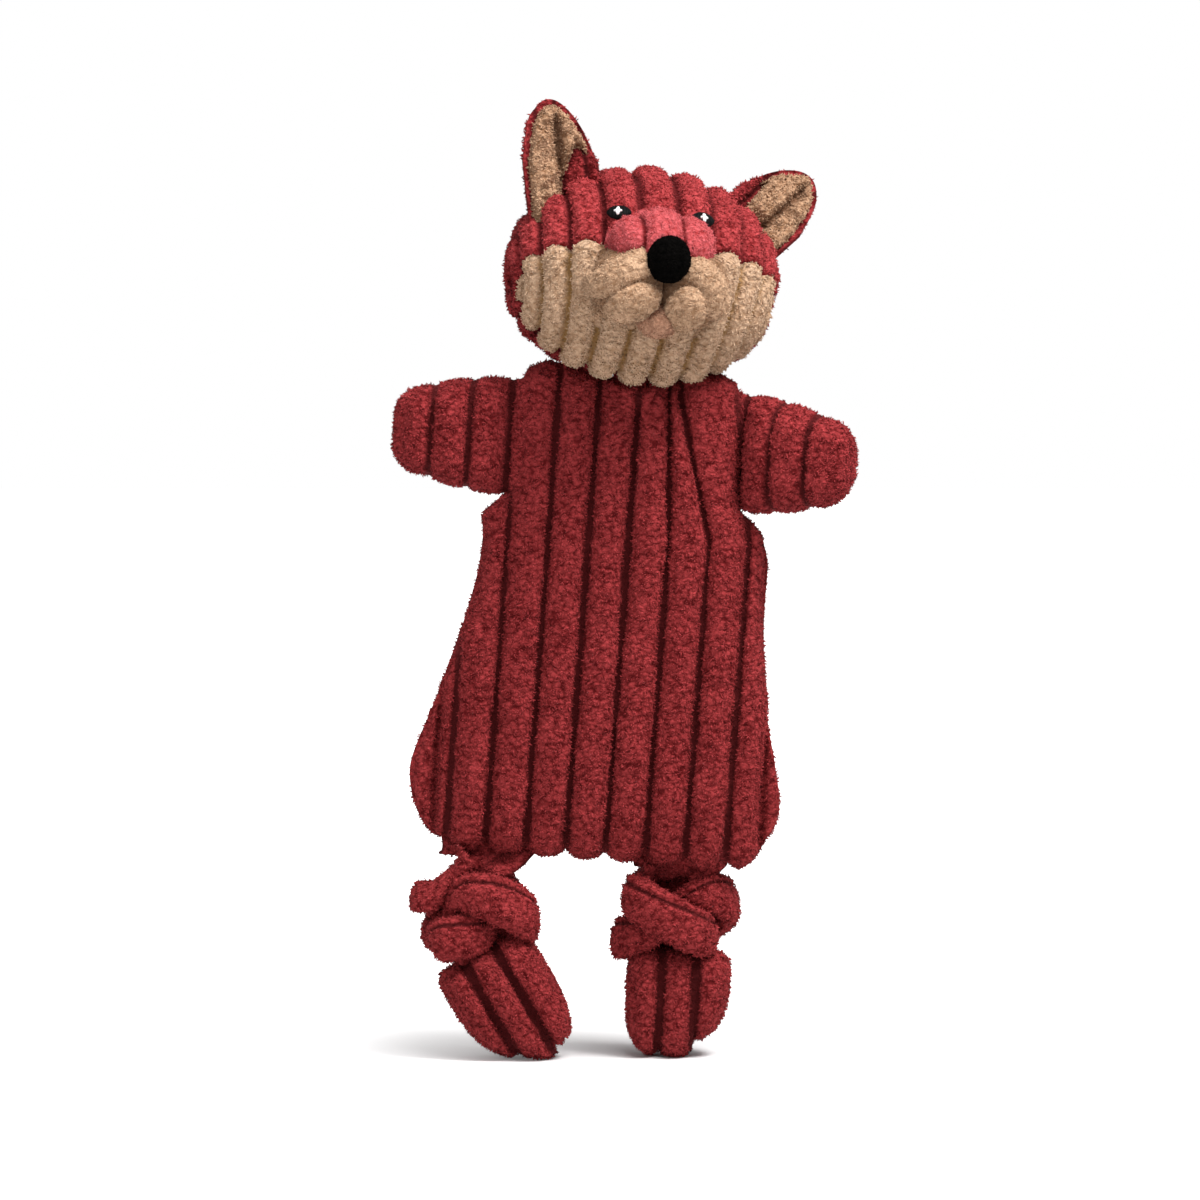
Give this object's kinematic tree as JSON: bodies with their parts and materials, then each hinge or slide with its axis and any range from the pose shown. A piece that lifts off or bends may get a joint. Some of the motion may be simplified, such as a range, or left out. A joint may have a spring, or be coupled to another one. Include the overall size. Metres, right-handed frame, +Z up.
{
  "type": "plush dog toy",
  "caption": "Flat ribbed plush fox with a round stuffed squeaker head, stub arms and strap legs tied in overhand knots above the feet.",
  "frame": {"origin": "on the floor under the middle of the toy's bounding box", "axes": "+Z up along the body, the longest extent; the face looks along -Y, through the thin direction; +X to the right as seen from the front"},
  "size_m": [0.1612, 0.0984, 0.3312],
  "materials": {
    "red_plush": "curly ribbed pile, matte",
    "tan_plush": "curly ribbed pile, matte",
    "black_felt": "close satin stitch and short black pile",
    "white_thread": "satin stitch",
    "filling": "loose polyester fibre",
    "crinkle_film": "thin film",
    "squeaker_vinyl": "soft blown vinyl"
  },
  "bodies": {
    "torso": {"torso_front_panel": "red_plush", "torso_back_panel": "red_plush", "torso_wadding": "filling", "torso_crinkle_sheet": "crinkle_film"},
    "neck": {"neck_gather": "red_plush"},
    "head": {"head_crown_panel": "red_plush", "head_face_panel": "tan_plush", "head_back_panel": "red_plush", "head_filling": "filling", "squeaker_bulb": "squeaker_vinyl", "squeaker_reed": "squeaker_vinyl", "muzzle_bridge": "red_plush", "muzzle_flew_left": "tan_plush", "muzzle_flew_right": "tan_plush", "chin": "tan_plush", "nose": "black_felt", "eye_left": "black_felt", "eye_left_glint": "white_thread", "eye_right": "black_felt", "eye_right_glint": "white_thread"},
    "ear_left": {"ear_left_shell": "red_plush", "ear_left_lining": "tan_plush"},
    "ear_right": {"ear_right_shell": "red_plush", "ear_right_lining": "tan_plush"},
    "arm_left": {"arm_left_skin": "red_plush", "arm_left_filling": "filling"},
    "arm_right": {"arm_right_skin": "red_plush", "arm_right_filling": "filling"},
    "leg_left": {"leg_left_strap": "red_plush"},
    "leg_right": {"leg_right_strap": "red_plush"},
    "foot_left": {"foot_left_skin": "red_plush", "foot_left_filling": "filling"},
    "foot_right": {"foot_right_skin": "red_plush", "foot_right_filling": "filling"}
  },
  "joints": [
    {"name": "neck_nod", "type": "hinge", "parent": "torso", "child": "neck", "pos_m": [0.00224, 0.00612, 0.23117], "axis": [0.9968, -0.0084, -0.0798], "range_deg": [-20, 20]},
    {"name": "head_turn", "type": "hinge", "parent": "neck", "child": "head", "pos_m": [0.00224, 0.00612, 0.23117], "axis": [0.0802, 0.1042, 0.9913], "range_deg": [-45, 45]},
    {"name": "ear_left_fold", "type": "hinge", "parent": "head", "child": "ear_left", "pos_m": [-0.02294, 0.0059, 0.30145], "axis": [0.9599, 0.2719, 0.0689], "range_deg": [-30, 30]},
    {"name": "ear_right_fold", "type": "hinge", "parent": "head", "child": "ear_right", "pos_m": [0.04498, 0.02345, 0.28699], "axis": [0.6743, -0.0835, -0.7337], "range_deg": [-30, 30]},
    {"name": "shoulder_left", "type": "hinge", "parent": "torso", "child": "arm_left", "pos_m": [-0.04443, 0.00612, 0.21555], "axis": [0.0732, 0, 0.9973], "range_deg": [-41, 49]},
    {"name": "shoulder_right", "type": "hinge", "parent": "torso", "child": "arm_right", "pos_m": [0.04573, 0.00612, 0.20893], "axis": [0.0732, 0, 0.9973], "range_deg": [-19, 71]},
    {"name": "hip_left", "type": "hinge", "parent": "torso", "child": "leg_left", "pos_m": [-0.04804, 0.00212, 0.06711], "axis": [1, 0, 0], "range_deg": [-26, 26]},
    {"name": "hip_right", "type": "hinge", "parent": "torso", "child": "leg_right", "pos_m": [0.01846, 0.01012, 0.06385], "axis": [1, 0, 0], "range_deg": [-26, 26]},
    {"name": "ankle_left", "type": "hinge", "parent": "leg_left", "child": "foot_left", "pos_m": [-0.04804, 0.00212, 0.03645], "axis": [1, 0, 0], "range_deg": [-15, 15]},
    {"name": "ankle_right", "type": "hinge", "parent": "leg_right", "child": "foot_right", "pos_m": [0.01846, 0.01012, 0.03486], "axis": [1, 0, 0], "range_deg": [-15, 15]}
  ]
}
